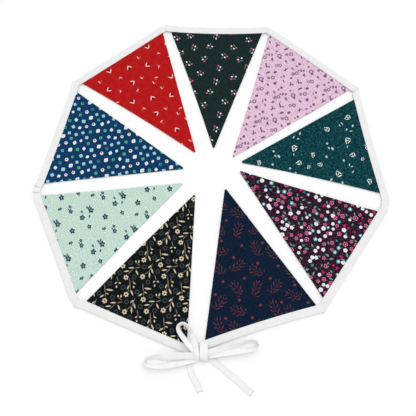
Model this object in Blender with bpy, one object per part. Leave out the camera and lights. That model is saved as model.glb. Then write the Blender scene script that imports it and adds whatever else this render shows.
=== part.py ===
"""Fabric bunting laid out flat: nine cotton flags point inwards in a ring.

One white tape is folded over the flags' base edges all the way round. It bends, with a small fold, between
each two flags, and its free ends are tied in a bow. Metres, +Z up, everything rests on z = 0. The plan is
drawn from the point that the flags' tips aim at, and then moved so that the origin is under the middle.
"""

import math
from collections import namedtuple

import bmesh
import bpy
from mathutils import Vector

MIDDLE = Vector((0.0040, 0.0250, 0.0))  # middle of the whole outline, in the plan

GAP = 0.0003
FLAG_THICK = 0.0010
TUCK = 0.0095  # flag cloth that goes into the tape
TIP_RADIUS = 0.0019
RISE_RUN = 0.024  # the flag climbs from the surface into the tape over this run

TAPE_WIDTH = 0.0119
TAPE_WALL = 0.0010
TAPE_FOLD = 0.0014  # cloth at the folded outer edge
TAPE_ROUND = 0.0012  # rounding of that fold
TAPE_EASE = 0.0004  # rounding of the turned edge over the flags
TAPE_PAST = 0.0006  # the slot stays open this far past a flag's corner
SLOT_OPEN = FLAG_THICK + 2 * GAP
SLOT_SHUT = 0.0005  # the tape's two sides, between flags
TIE_THICK = 0.0014
STUB_THICK = 0.0026

# x, y: middle of the flag's visible base; heading: where its tip points, in degrees; base and drop: visible
# width and length; aside: how far the tip lies to the right of the middle, seen along the heading; left,
# edge, right: how far each side bulges outwards; lift: ripple of the long edges; waves: ripples per side
Flag = namedtuple("Flag", "name x y heading base drop aside left edge right lift waves")
FLAGS = (
    Flag("black", -0.0997, -0.1627, 67.9, 0.1526, 0.1985, 0.0054, 0.0011, 0.0004, 0.0001, 0.0006, 1.5),
    Flag("mint", -0.2168, -0.0519, 23.9, 0.1557, 0.1997, -0.0090, -0.0010, -0.0003, -0.0013, 0.0008, 2.0),
    Flag("blue", -0.2255, 0.1121, -14.5, 0.1541, 0.1947, 0.0023, 0.0006, -0.0007, -0.0003, 0.0006, 1.2),
    Flag("red", -0.1362, 0.2471, -53.9, 0.1545, 0.1977, 0.0002, 0.0000, -0.0003, -0.0022, 0.0008, 1.8),
    Flag("green", 0.0141, 0.2929, -91.0, 0.1480, 0.1988, 0.0020, -0.0003, -0.0028, -0.0013, 0.0006, 1.4),
    Flag("pink", 0.1609, 0.2399, -128.6, 0.1576, 0.2016, -0.0038, 0.0003, 0.0009, -0.0012, 0.0009, 2.1),
    Flag("teal", 0.2420, 0.0982, -170.0, 0.1539, 0.1925, 0.0063, -0.0021, -0.0010, 0.0004, 0.0007, 1.6),
    Flag("plum", 0.2055, -0.0673, 144.5, 0.1524, 0.1994, 0.0091, -0.0004, 0.0004, -0.0004, 0.0008, 1.3),
    Flag("navy", 0.0736, -0.1629, 106.6, 0.1623, 0.1970, 0.0090, -0.0003, -0.0018, -0.0001, 0.0007, 1.9),
)

COLOURS = {
    "black": (0.011, 0.013, 0.014),
    "mint": (0.50, 0.64, 0.57),
    "blue": (0.022, 0.075, 0.17),
    "red": (0.46, 0.022, 0.024),
    "green": (0.016, 0.030, 0.034),
    "pink": (0.67, 0.50, 0.61),
    "teal": (0.012, 0.075, 0.090),
    "plum": (0.050, 0.022, 0.042),
    "navy": (0.014, 0.022, 0.055),
}
WHITE = (0.86, 0.86, 0.87)

# The bends of the tape, each after the flag it is named by: the length of tape that lies across the corner
# and the height of the small fold there
Bend = namedtuple("Bend", "after across fold")
BENDS = (
    Bend("black", 0.0012, 0.0008),
    Bend("mint", 0.0070, 0.0014),
    Bend("blue", 0.0030, 0.0017),
    Bend("red", 0.0022, 0.0020),
    Bend("green", 0.0030, 0.0020),
    Bend("pink", 0.0030, 0.0017),
    Bend("teal", 0.0125, 0.0009),
    Bend("plum", 0.0045, 0.0014),
)
BEND_LEAD = 0.0030  # the fold rises and falls over this much tape
RUN_SPANS = 10

FLAG_COLUMNS = 8
FLAG_ROWS = (0.03, 0.07, 0.11, 0.15, 0.22, 0.30, 0.38, 0.46, 0.54, 0.62, 0.70, 0.78, 0.85, 0.91, 0.96)
TIP_TURNS = (60, 35)  # degrees round the blunt tip

# The bow, a row for each turn of its tape: place of the middle of its width, width, and lean, the angle by
# which the edge on the right of the run is raised. Both long loops open upwards, so that edge is the outer one
Turn = namedtuple("Turn", "x y z width lean")
LEFT_LOOP = (
    Turn(-0.0120, -0.2055, 0.0060, 0.0085, 0),
    Turn(-0.0240, -0.2056, 0.0064, 0.0090, 8),
    Turn(-0.0420, -0.2062, 0.0060, 0.0094, 14),
    Turn(-0.0600, -0.2066, 0.0050, 0.0094, 22),
    Turn(-0.0740, -0.2076, 0.0047, 0.0094, 45),
    Turn(-0.0825, -0.2096, 0.0049, 0.0094, 68),
    Turn(-0.0862, -0.2136, 0.0051, 0.0094, 80),
    Turn(-0.0823, -0.2178, 0.0049, 0.0094, 70),
    Turn(-0.0720, -0.2194, 0.0047, 0.0094, 60),
    Turn(-0.0560, -0.2186, 0.0046, 0.0094, 48),
    Turn(-0.0400, -0.2154, 0.0046, 0.0092, 38),
    Turn(-0.0260, -0.2120, 0.0046, 0.0090, 26),
    Turn(-0.0120, -0.2085, 0.0036, 0.0085, 0),
)
RIGHT_LOOP = (
    Turn(-0.0060, -0.2060, 0.0036, 0.0085, 0),
    Turn(0.0080, -0.2045, 0.0048, 0.0088, 25),
    Turn(0.0240, -0.2020, 0.0046, 0.0092, 32),
    Turn(0.0420, -0.2000, 0.0046, 0.0094, 40),
    Turn(0.0560, -0.1983, 0.0047, 0.0094, 55),
    Turn(0.0650, -0.1962, 0.0049, 0.0094, 72),
    Turn(0.0683, -0.1915, 0.0051, 0.0094, 80),
    Turn(0.0648, -0.1868, 0.0049, 0.0094, 72),
    Turn(0.0550, -0.1866, 0.0049, 0.0094, 60),
    Turn(0.0400, -0.1918, 0.0050, 0.0093, 45),
    Turn(0.0240, -0.1959, 0.0056, 0.0090, 27),
    Turn(0.0080, -0.2001, 0.0064, 0.0088, 8),
    Turn(-0.0060, -0.2035, 0.0062, 0.0085, 0),
)
SMALL_LOOP = (
    Turn(-0.0150, -0.2122, 0.0024, 0.0066, 0),
    Turn(-0.0150, -0.2085, 0.0070, 0.0070, 0),
    Turn(-0.0152, -0.2035, 0.0088, 0.0072, 0),
    Turn(-0.0160, -0.1980, 0.0082, 0.0074, 4),
    Turn(-0.0184, -0.1900, 0.0066, 0.0090, 10),
    Turn(-0.0198, -0.1830, 0.0060, 0.0092, 22),
    Turn(-0.0224, -0.1758, 0.0058, 0.0092, 38),
    Turn(-0.0270, -0.1685, 0.0060, 0.0092, 54),
    Turn(-0.0338, -0.1638, 0.0062, 0.0092, 62),
    Turn(-0.0398, -0.1662, 0.0062, 0.0092, 64),
    Turn(-0.0406, -0.1718, 0.0060, 0.0092, 60),
    Turn(-0.0364, -0.1790, 0.0062, 0.0092, 54),
    Turn(-0.0295, -0.1875, 0.0068, 0.0090, 46),
    Turn(-0.0225, -0.1950, 0.0070, 0.0085, 28),
    Turn(-0.0150, -0.2020, 0.0058, 0.0080, 0),
)
LEFT_TAIL = (
    Turn(-0.0140, -0.2050, 0.0026, 0.0084, 0),
    Turn(-0.0200, -0.2095, 0.0014, 0.0084, 0),
    Turn(-0.0245, -0.2145, 0.0007, 0.0084, 0),
    Turn(-0.0246, -0.2205, 0.0007, 0.0086, 0),
    Turn(-0.0227, -0.2267, 0.0008, 0.0089, 3),
    Turn(-0.0196, -0.2340, 0.0009, 0.0090, 4),
    Turn(-0.0157, -0.2402, 0.0008, 0.0090, 2),
    Turn(-0.0103, -0.2520, 0.0007, 0.0088, 0),
)
RIGHT_TAIL = (
    Turn(-0.0080, -0.2050, 0.0026, 0.0086, 0),
    Turn(-0.0010, -0.2080, 0.0013, 0.0088, 0),
    Turn(0.0056, -0.2122, 0.0007, 0.0090, 0),
    Turn(0.0187, -0.2214, 0.0007, 0.0090, 0),
    Turn(0.0292, -0.2296, 0.0009, 0.0090, 3),
    Turn(0.0392, -0.2373, 0.0008, 0.0091, 2),
    Turn(0.0590, -0.2547, 0.0007, 0.0092, 0),
)
TURN_STEPS = 3

# The tape's left end runs on into the knot: how far along from the end face, how far to the left, the
# height of its middle, and its width
Stub = namedtuple("Stub", "along aside z width")
STUB = (
    Stub(GAP, 0.0, 0.0017, 0.0116),
    Stub(0.0035, 0.0, 0.0018, 0.0108),
    Stub(0.0090, -0.0004, 0.0023, 0.0096),
    Stub(0.0165, 0.0004, 0.0030, 0.0088),
)

# The knot, a row for each section across it from the top down: the tape's right end turns down over the
# middle of the bow, and the roots of the left loop lie beside it
Lump = namedtuple("Lump", "y x_left x_right z_low z_high")
WRAP = (
    Lump(-0.1874, -0.0084, -0.0052, 0.0004, 0.0026),
    Lump(-0.1892, -0.0102, -0.0045, 0.0002, 0.0034),
    Lump(-0.1925, -0.0112, -0.0036, 0.0000, 0.0044),
    Lump(-0.1960, -0.0114, -0.0025, 0.0000, 0.0064),
    Lump(-0.1984, -0.0114, -0.0016, 0.0000, 0.0080),
    Lump(-0.1996, -0.0115, -0.0002, 0.0000, 0.0086),
    Lump(-0.2035, -0.0115, 0.0002, 0.0000, 0.0093),
    Lump(-0.2075, -0.0114, 0.0002, 0.0000, 0.0088),
    Lump(-0.2106, -0.0112, 0.0000, 0.0000, 0.0070),
    Lump(-0.2127, -0.0108, -0.0006, 0.0004, 0.0040),
)
ROOT = (
    Lump(-0.1995, -0.0182, -0.0104, 0.0008, 0.0048),
    Lump(-0.2025, -0.0190, -0.0104, 0.0002, 0.0066),
    Lump(-0.2075, -0.0190, -0.0104, 0.0002, 0.0064),
    Lump(-0.2112, -0.0180, -0.0104, 0.0008, 0.0040),
)
LUMP_EDGE = 0.0011


def flag_axes(flag):
    """The flag's own sideways axis, to the right of its heading, and its axis towards the tip."""
    turn = math.radians(flag.heading)
    inward = Vector((math.cos(turn), math.sin(turn), 0.0))
    right = Vector((math.sin(turn), -math.cos(turn), 0.0))
    return right, inward


def flag_place(flag, side, along, up=0.0):
    """A point of the plan from the flag's own coordinates."""
    right, inward = flag_axes(flag)
    return Vector((flag.x, flag.y, up)) + right * side + inward * along


def seam_along(flag, side):
    """The seam line bows by flag.edge: how far towards the tip it lies at this place across the base."""
    share = min(1.0, abs(2 * side / flag.base))
    return -flag.edge * (1 - share**2)


def flag_sides(flag, share):
    """Left and right limits of the flag at this share of the way from the base to the tip's round end."""
    swell = 4 * share * (1 - share)
    left = (1 - share) * -flag.base / 2 + share * (flag.aside - TIP_RADIUS) - swell * flag.left
    right = (1 - share) * flag.base / 2 + share * (flag.aside + TIP_RADIUS) + swell * flag.right
    return left, right


def flag_height(flag, across, share, from_seam):
    """Height of the flag's underside: it lies flat, climbs into the tape, and its long edges ripple."""
    climb = max(0.0, 1 - max(0.0, from_seam - GAP) / RISE_RUN)
    rise = (TAPE_WALL + GAP) * climb**2 * (3 - 2 * climb)
    ripple = 0.5 - 0.5 * math.cos(2 * math.pi * flag.waves * share)
    edge = max(0.0, 2 * abs(across) - 1)
    return rise + flag.lift * edge**2 * ripple * (1 - climb)


def flag_rows(flag):
    """Rows of points over the flag's underside, from the edge hidden in the tape to the tip."""
    straight = flag.drop - TIP_RADIUS
    columns = [2 * c / FLAG_COLUMNS - 1 for c in range(FLAG_COLUMNS + 1)]
    rows = []
    for depth in (TUCK, TUCK / 2, 0.0):
        row = []
        for across in columns:
            side = across * flag.base / 2
            row.append(flag_place(flag, side, seam_along(flag, side) - depth, TAPE_WALL + GAP))
        rows.append(row)
    for share in FLAG_ROWS + (1.0,):
        left, right = flag_sides(flag, share)
        row = []
        for across in columns:
            side = left + (right - left) * (across + 1) / 2
            seam = seam_along(flag, across * flag.base / 2)
            along = seam * (1 - share) + share * straight
            up = flag_height(flag, across, share, along - seam)
            row.append(flag_place(flag, side, along, up))
        rows.append(row)
    for degrees in TIP_TURNS:
        turn = math.radians(degrees)
        along = straight + TIP_RADIUS * math.cos(turn)
        reach = TIP_RADIUS * math.sin(turn)
        up = flag_height(flag, 1, 1.0, along)
        rows.append([flag_place(flag, flag.aside + across * reach, along, up) for across in columns])
    return rows


def solid_from_rows(name, rows, thick):
    """A closed sheet: the rows are its underside, and its top lies thick above them."""
    bm = bmesh.new()
    low = [[bm.verts.new(p) for p in row] for row in rows]
    top = [[bm.verts.new(p + Vector((0, 0, thick))) for p in row] for row in rows]
    for grid in (low, top):
        for one, other in zip(grid, grid[1:]):
            for k in range(len(one) - 1):
                bm.faces.new((one[k], one[k + 1], other[k + 1], other[k]))
    ends = [(low[0], top[0]), (low[-1], top[-1])]
    ends += [([row[k] for row in low], [row[k] for row in top]) for k in (0, -1)]
    for below, above in ends:
        for k in range(len(below) - 1):
            bm.faces.new((below[k], below[k + 1], above[k + 1], above[k]))
    return finish(name, bm)


def solid_from_sections(name, sections):
    """A closed body along a row of sections, each a closed line of as many points."""
    bm = bmesh.new()
    rings = [[bm.verts.new(p) for p in section] for section in sections]
    for one, other in zip(rings, rings[1:]):
        for k, vert in enumerate(one):
            after = (k + 1) % len(one)
            bm.faces.new((vert, one[after], other[after], other[k]))
    bm.faces.new(rings[0])
    bm.faces.new(rings[-1])
    return finish(name, bm)


def finish(name, bm):
    """Turns the faces outwards, moves the plan onto the origin and makes the object."""
    bmesh.ops.translate(bm, verts=bm.verts, vec=-MIDDLE)
    bmesh.ops.recalc_face_normals(bm, faces=bm.faces)
    mesh = bpy.data.meshes.new(name)
    bm.to_mesh(mesh)
    bm.free()
    mesh.shade_smooth()
    mesh.set_sharp_from_angle(angle=math.radians(50))
    body = bpy.data.objects.new(name, mesh)
    bpy.context.scene.collection.objects.link(body)
    return body


def cloth(name, colour):
    """A matt woven cloth of one colour."""
    material = bpy.data.materials.new(name)
    material.use_nodes = True
    shader = material.node_tree.nodes["Principled BSDF"]
    shader.inputs["Base Color"].default_value = (*colour, 1.0)
    shader.inputs["Roughness"].default_value = 0.9
    shader.inputs["Metallic"].default_value = 0.0
    return material


Station = namedtuple("Station", "place slot fold")


def bend_stations(flag, after, bend):
    """The tape from one flag's corner to the next one's, with its turn and its small fold between them."""
    start = flag_place(flag, -flag.base / 2 - TAPE_PAST, 0.0)
    end = flag_place(after, after.base / 2 + TAPE_PAST, 0.0)
    turn = math.radians((flag.heading - after.heading) % 360)
    outward = -(flag_axes(flag)[1] + flag_axes(after)[1]).normalized()
    corner = (start + end) / 2 + outward * (end - start).length / 2 * math.tan(turn / 2)
    run = (corner - start).normalized()
    run_after = (end - corner).normalized()
    leg = (corner - start).length
    lead = min(BEND_LEAD, (leg - bend.across / 2) * 0.6)
    first = corner - run * bend.across / 2
    last = corner + run_after * bend.across / 2
    return [
        Station(first - run * lead, SLOT_SHUT, 0.0),
        Station(first, SLOT_SHUT, bend.fold * 0.55),
        Station((first + last) / 2, SLOT_SHUT, bend.fold),
        Station(last, SLOT_SHUT, bend.fold * 0.45),
        Station(last + run_after * lead, SLOT_SHUT, 0.0),
    ]


def tape_stations():
    """The seam line from the knot's left side round the ring to its right side."""
    stations = []
    for k, flag in enumerate(FLAGS):
        half = flag.base / 2
        sides = [half + TAPE_PAST]
        sides += [half - flag.base * n / RUN_SPANS for n in range(RUN_SPANS + 1)]
        sides += [-half - TAPE_PAST]
        for side in sides:
            place = flag_place(flag, side, seam_along(flag, side))
            stations.append(Station(place, SLOT_OPEN, 0.0))
        if k < len(BENDS):
            stations += bend_stations(flag, FLAGS[k + 1], BENDS[k])
    return stations


def outward_at(stations, k):
    """Outward direction across the tape at a station, longer where the tape turns a corner."""
    here = stations[k].place
    before = stations[max(k - 1, 0)].place
    after = stations[min(k + 1, len(stations) - 1)].place
    normals = []
    for run in (here - before, after - here):
        if run.length > 1e-6:
            normals.append(Vector((-run.y, run.x, 0.0)).normalized())
    both = sum(normals, Vector()) / len(normals)
    return both / both.length_squared


def tape_section(slot, fold):
    """The folded tape cut across: (out from the seam line, up), with the slot that holds a flag."""
    top = 2 * TAPE_WALL + slot
    shoulder = top + 0.8 * fold
    inside = TAPE_WIDTH - TAPE_FOLD
    return (
        (0.0, 0.0),
        (TAPE_WIDTH - TAPE_ROUND, 0.0),
        (TAPE_WIDTH - TAPE_ROUND * 0.3, 0.25 * top),
        (TAPE_WIDTH, 0.5 * top),
        (TAPE_WIDTH - TAPE_ROUND * 0.3, 0.75 * top + 0.4 * fold),
        (TAPE_WIDTH - TAPE_ROUND, shoulder),
        (TAPE_WIDTH / 2, top + fold),
        (TAPE_EASE, shoulder),
        (0.0, top - TAPE_EASE + 0.5 * fold),
        (0.0, top - TAPE_WALL),
        (inside, top - TAPE_WALL),
        (inside, TAPE_WALL),
        (0.0, TAPE_WALL),
    )


def make_binding():
    """The tape round the ring."""
    stations = tape_stations()
    sections = []
    for k, station in enumerate(stations):
        outward = outward_at(stations, k)
        ring = [station.place + outward * out + Vector((0, 0, up))
                for out, up in tape_section(station.slot, station.fold)]
        sections.append(ring)
    return solid_from_sections("binding", sections)


def smooth_turns(turns):
    """Catmull-Rom curve through the turns, over every column of the table."""
    rows = [Vector(turn) for turn in turns]
    padded = [2 * rows[0] - rows[1]] + rows + [2 * rows[-1] - rows[-2]]
    points = []
    for a, b, c, d in zip(padded, padded[1:], padded[2:], padded[3:]):
        for n in range(TURN_STEPS):
            t = n / TURN_STEPS
            point = b * 2 + (c - a) * t + (a * 2 - b * 5 + c * 4 - d) * t**2 + (b * 3 - a - c * 3 + d) * t**3
            points.append(point / 2)
    points.append(rows[-1])
    return points


def ribbon(name, turns, thick):
    """A flat tape along its turns, with its edge on the right raised by the lean, never below the surface."""
    rows = smooth_turns(turns)
    places = [Vector(row[:3]) for row in rows]
    sections = []
    for k, row in enumerate(rows):
        run = (places[min(k + 1, len(rows) - 1)] - places[max(k - 1, 0)]).normalized()
        right = run.cross(Vector((0, 0, 1))).normalized()
        lean = math.radians(row[4])
        across = right * math.cos(lean) + right.cross(run) * math.sin(lean)
        face = across.cross(run)
        half = row[3] / 2
        outline = (
            (half, 0.0), (half - thick * 0.4, thick / 2), (thick * 0.4 - half, thick / 2),
            (-half, 0.0), (thick * 0.4 - half, -thick / 2), (half - thick * 0.4, -thick / 2),
        )
        section = [places[k] + across * a + face * f for a, f in outline]
        sunk = max(0.0, -min(p.z for p in section))
        sections.append([p + Vector((0, 0, sunk)) for p in section])
    return solid_from_sections(name, sections)


def lump(name, rows):
    """A body across the bow, a flat round-edged section for each row."""
    sections = []
    for row in rows:
        edge = min(LUMP_EDGE, (row.z_high - row.z_low) * 0.4, (row.x_right - row.x_left) * 0.4)
        sections.append([Vector((x, row.y, z)) for x, z in (
            (row.x_left + edge, row.z_low), (row.x_right - edge, row.z_low),
            (row.x_right, row.z_low + edge), (row.x_right, row.z_high - edge),
            (row.x_right - edge, row.z_high), ((row.x_left + row.x_right) / 2, row.z_high + edge / 4),
            (row.x_left + edge, row.z_high), (row.x_left, row.z_high - edge),
            (row.x_left, row.z_low + edge),
        )])
    return solid_from_sections(name, sections)


def stub_turns():
    """The tape between its left end face and the knot, in the plan."""
    flag = FLAGS[0]
    right, inward = flag_axes(flag)
    face = flag_place(flag, flag.base / 2 + TAPE_PAST, -TAPE_WIDTH / 2)
    turns = []
    for row in STUB:
        place = face + right * row.along + inward * row.aside
        turns.append(Turn(place.x, place.y, row.z, row.width, 0))
    return turns


def make_bow():
    """The knot, its three loops and its two tails, fused into one body."""
    bow = lump("tie_bow", WRAP)
    pieces = [
        lump("bow_root", ROOT),
        ribbon("bow_stub", stub_turns(), STUB_THICK),
        ribbon("bow_left_loop", LEFT_LOOP, TIE_THICK),
        ribbon("bow_right_loop", RIGHT_LOOP, TIE_THICK),
        ribbon("bow_small_loop", SMALL_LOOP, TIE_THICK),
        ribbon("bow_left_tail", LEFT_TAIL, TIE_THICK),
        ribbon("bow_right_tail", RIGHT_TAIL, TIE_THICK),
    ]
    for piece in pieces:
        piece.hide_render = True
        piece.display_type = "WIRE"
        union = bow.modifiers.new(piece.name, "BOOLEAN")
        union.operation = "UNION"
        union.solver = "EXACT"
        union.object = piece
    return bow


for old in list(bpy.data.objects):
    bpy.data.objects.remove(old, do_unlink=True)

for flag in FLAGS:
    sheet = solid_from_rows("flag_" + flag.name, flag_rows(flag), FLAG_THICK)
    sheet.data.materials.append(cloth("print_" + flag.name, COLOURS[flag.name]))

tape_cloth = cloth("white_tape", WHITE)
make_binding().data.materials.append(tape_cloth)
make_bow().data.materials.append(tape_cloth.copy())
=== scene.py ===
import math
from collections import namedtuple

import bmesh
import bpy
from mathutils import Matrix, Vector, noise


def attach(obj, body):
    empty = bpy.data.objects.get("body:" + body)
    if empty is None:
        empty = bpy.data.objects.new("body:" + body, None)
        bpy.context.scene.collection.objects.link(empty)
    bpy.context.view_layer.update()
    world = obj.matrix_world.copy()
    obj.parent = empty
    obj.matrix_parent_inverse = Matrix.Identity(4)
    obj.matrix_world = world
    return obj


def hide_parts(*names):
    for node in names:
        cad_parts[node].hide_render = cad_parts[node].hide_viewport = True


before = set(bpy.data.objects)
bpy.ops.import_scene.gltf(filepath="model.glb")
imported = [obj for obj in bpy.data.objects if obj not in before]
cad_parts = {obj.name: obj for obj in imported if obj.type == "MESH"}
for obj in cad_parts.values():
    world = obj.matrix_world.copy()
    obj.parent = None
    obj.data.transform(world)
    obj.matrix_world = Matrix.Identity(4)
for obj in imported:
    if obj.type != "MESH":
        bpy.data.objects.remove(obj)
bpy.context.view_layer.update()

# The nine flags. Each is two layers of printed cotton, sewn right sides together along the two long sides,
# turned and pressed, so the seam allowance inside thickens a strip there. The raw base edge goes into the
# tape. The plan is drawn from the point that the tips aim at, and moved so that the part stands at its
# origin.
PLAN_MIDDLE = Vector((0.0040, 0.0250, 0.0))
FLAG_THICK = 0.0009
FLAG_UNDER_TAPE = 0.0011  # height of the flag's underside where it lies in the tape
TUCK = 0.0094
TIP_RADIUS = 0.0019
RISE_RUN = 0.024
EDGE_ROUND = 0.00055
ALLOWANCE = 0.0062  # width of the strip that the seam allowance thickens
ALLOWANCE_RIDGE = 0.00022
RIDGE_END = 0.0014  # width over which the thickened strip fades out
ROW_STEP = 0.0021
EDGE_ROWS = (0.0, 0.0002, 0.0006)  # rows that round the base edge
TIP_ANGLES = (20, 40, 58, 73, 84, 90)
HALF_COLUMNS = 38
COLUMN_CROWDING = 1.6  # above 1 the columns stand closer together towards the sides
WAVERS_PER_METRE = 45
WAVER_HEIGHT = 0.00016

# x, y: middle of the flag's visible base; heading: where its tip points, in degrees; base and drop: visible
# width and length; aside: how far the tip lies to the right of the middle, seen along the heading; left,
# edge, right: how far each side bulges outwards; lift: ripple of the long edges; waves: ripples per side
Flag = namedtuple("Flag", "name x y heading base drop aside left edge right lift waves")
FLAGS = (
    Flag("black", -0.0997, -0.1627, 67.9, 0.1526, 0.1985, 0.0054, 0.0011, 0.0004, 0.0001, 0.0006, 1.5),
    Flag("mint", -0.2168, -0.0519, 23.9, 0.1557, 0.1997, -0.0090, -0.0010, -0.0003, -0.0013, 0.0008, 2.0),
    Flag("blue", -0.2255, 0.1121, -14.5, 0.1541, 0.1947, 0.0023, 0.0006, -0.0007, -0.0003, 0.0006, 1.2),
    Flag("red", -0.1362, 0.2471, -53.9, 0.1545, 0.1977, 0.0002, 0.0000, -0.0003, -0.0022, 0.0008, 1.8),
    Flag("green", 0.0141, 0.2929, -91.0, 0.1480, 0.1988, 0.0020, -0.0003, -0.0028, -0.0013, 0.0006, 1.4),
    Flag("pink", 0.1609, 0.2399, -128.6, 0.1576, 0.2016, -0.0038, 0.0003, 0.0009, -0.0012, 0.0009, 2.1),
    Flag("teal", 0.2420, 0.0982, -170.0, 0.1539, 0.1925, 0.0063, -0.0021, -0.0010, 0.0004, 0.0007, 1.6),
    Flag("plum", 0.2055, -0.0673, 144.5, 0.1524, 0.1994, 0.0091, -0.0004, 0.0004, -0.0004, 0.0008, 1.3),
    Flag("navy", 0.0736, -0.1629, 106.6, 0.1623, 0.1970, 0.0090, -0.0003, -0.0018, -0.0001, 0.0007, 1.9),
)

# Soft creases that the pressed cloth has kept: the flag, then where the crease lies on it, seen with the base
# at the top, its turn in degrees, its length, its width and how far it stands up or, if negative, dips
Crease = namedtuple("Crease", "flag side along turn length width rise")
CREASES = (
    Crease("red", -0.018, 0.081, 12, 0.034, 0.0035, 0.0005),
    Crease("red", 0.012, 0.100, 64, 0.050, 0.0060, 0.0003),
    Crease("mint", 0.010, 0.060, 78, 0.070, 0.0080, 0.0003),
    Crease("blue", -0.010, 0.080, 96, 0.080, 0.0070, 0.0003),
    Crease("green", 0.006, 0.070, 84, 0.090, 0.0080, 0.0003),
    Crease("pink", -0.020, 0.050, 50, 0.050, 0.0060, 0.0003),
    Crease("teal", 0.016, 0.066, 110, 0.060, 0.0065, 0.0003),
    Crease("plum", -0.008, 0.090, 82, 0.070, 0.0070, 0.0003),
    Crease("navy", 0.014, 0.058, 100, 0.080, 0.0075, 0.0003),
    Crease("black", -0.006, 0.075, 88, 0.080, 0.0070, 0.0003),
)


def ease(share):
    share = min(1.0, max(0.0, share))
    return share * share * (3 - 2 * share)


def flag_axes(flag):
    turn = math.radians(flag.heading)
    return Vector((math.sin(turn), -math.cos(turn), 0)), Vector((math.cos(turn), math.sin(turn), 0))


def flag_place(flag, side, along, up=0.0):
    right, inward = flag_axes(flag)
    return Vector((flag.x, flag.y, up)) + right * side + inward * along - PLAN_MIDDLE


def seam_along(flag, side):
    """How far the bowed seam line lies towards the tip at this place across the base."""
    return -flag.edge * (1 - min(1.0, abs(2 * side / flag.base)) ** 2)


def crease_rise(flag, side, along):
    rise = 0.0
    for crease in CREASES:
        if crease.flag == flag.name:
            turn = math.radians(crease.turn)
            x, y = -side - crease.side, along - crease.along
            run = (x * math.cos(turn) + y * math.sin(turn)) / crease.length * 2
            off = (y * math.cos(turn) - x * math.sin(turn)) / crease.width * 2
            rise += crease.rise * math.exp(-off * off) * math.exp(-run**4)
    return rise


def flag_rows(flag):
    """Distances from the seam line at which the mesh has a row, closer together at both ends."""
    straight = flag.drop - TIP_RADIUS
    steps = round((straight + TUCK) / ROW_STEP)
    rows = [step - TUCK for step in EDGE_ROWS]
    rows += [-TUCK + (straight + TUCK) * n / steps for n in range(1, steps + 1)]
    return rows + [straight + TIP_RADIUS * math.sin(math.radians(t)) for t in TIP_ANGLES]


def make_flag(flag):
    """Both faces of the flag, closed all round, with a map of its cut in metres, base at the top."""
    straight = flag.drop - TIP_RADIUS
    rows = flag_rows(flag)
    bm = bmesh.new()
    cut = {}
    for face in (1, -1):
        made = bmesh.ops.create_grid(bm, x_segments=2 * HALF_COLUMNS, y_segments=len(rows) - 1, size=1.0)
        for vert in made["verts"]:
            along = rows[round((1 - vert.co.y) / 2 * (len(rows) - 1))]
            across = math.copysign(1 - (1 - abs(vert.co.x)) ** COLUMN_CROWDING, vert.co.x)
            share = min(1.0, max(0.0, along / straight))
            swell = 4 * share * (1 - share)
            middle = share * flag.aside + swell * (flag.right - flag.left) / 2
            half = (1 - share) * flag.base / 2 + share * TIP_RADIUS + swell * (flag.left + flag.right) / 2
            if along > straight:
                half = math.sqrt(max(0.0, TIP_RADIUS**2 - (along - straight) ** 2))
            side = middle + half * across
            from_edge = min(half * (1 - abs(across)), along + TUCK)
            rounding = 1 - min(1.0, from_edge / EDGE_ROUND)
            thick = FLAG_THICK + ALLOWANCE_RIDGE * (1 - ease((from_edge - ALLOWANCE) / RIDGE_END))
            thick *= math.sqrt(1 - rounding**2)
            in_plan = along + (seam_along(flag, across * flag.base / 2) * (1 - share) if along > 0
                               else seam_along(flag, side))
            climb = max(0.0, 1 - max(0.0, along) / RISE_RUN)
            ripple = 0.5 - 0.5 * math.cos(2 * math.pi * flag.waves * share)
            under = FLAG_UNDER_TAPE * ease(climb)
            under += flag.lift * max(0.0, 2 * abs(across) - 1) ** 2 * ripple * (1 - climb)
            open_cloth = (1 - climb) * (1 - rounding)
            waver = noise.noise(Vector((side * WAVERS_PER_METRE, along * WAVERS_PER_METRE, flag.heading)))
            under += open_cloth * (crease_rise(flag, side, along)
                                   + WAVER_HEIGHT * (waver + 1) * min(1, half / 0.02))
            middle_up = under + FLAG_THICK / 2
            vert.co = flag_place(flag, side, in_plan, middle_up + face * thick / 2)
            cut[vert] = (-side, along)
    for vert in bm.verts:
        vert.co.z = max(vert.co.z, 0.0)
    layer = bm.loops.layers.uv.new("cut")
    for face in bm.faces:
        for loop in face.loops:
            loop[layer].uv = cut[loop.vert]
    bmesh.ops.remove_doubles(bm, verts=bm.verts, dist=1e-6)
    bmesh.ops.recalc_face_normals(bm, faces=bm.faces)
    return finished("pennant_" + flag.name, bm)


def finished(name, bm):
    mesh = bpy.data.meshes.new(name)
    bm.to_mesh(mesh)
    bm.free()
    mesh.shade_smooth()
    piece = bpy.data.objects.new(name, mesh)
    bpy.context.scene.collection.objects.link(piece)
    return piece


# The printed cottons. Every one has a plain ground, slightly mottled, under small motifs in a repeat, and a
# fine plain weave. A repeat is a chart in millimetres of the flag's own cut, with the base at the top.
THREAD_BUMP = 0.5
THREAD_SHADE = 0.035  # painted shade: how much lighter the raised threads are painted, and the hollows between them darker
SLUB = 0.8  # unevenness of the threads, beside their own height


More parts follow.
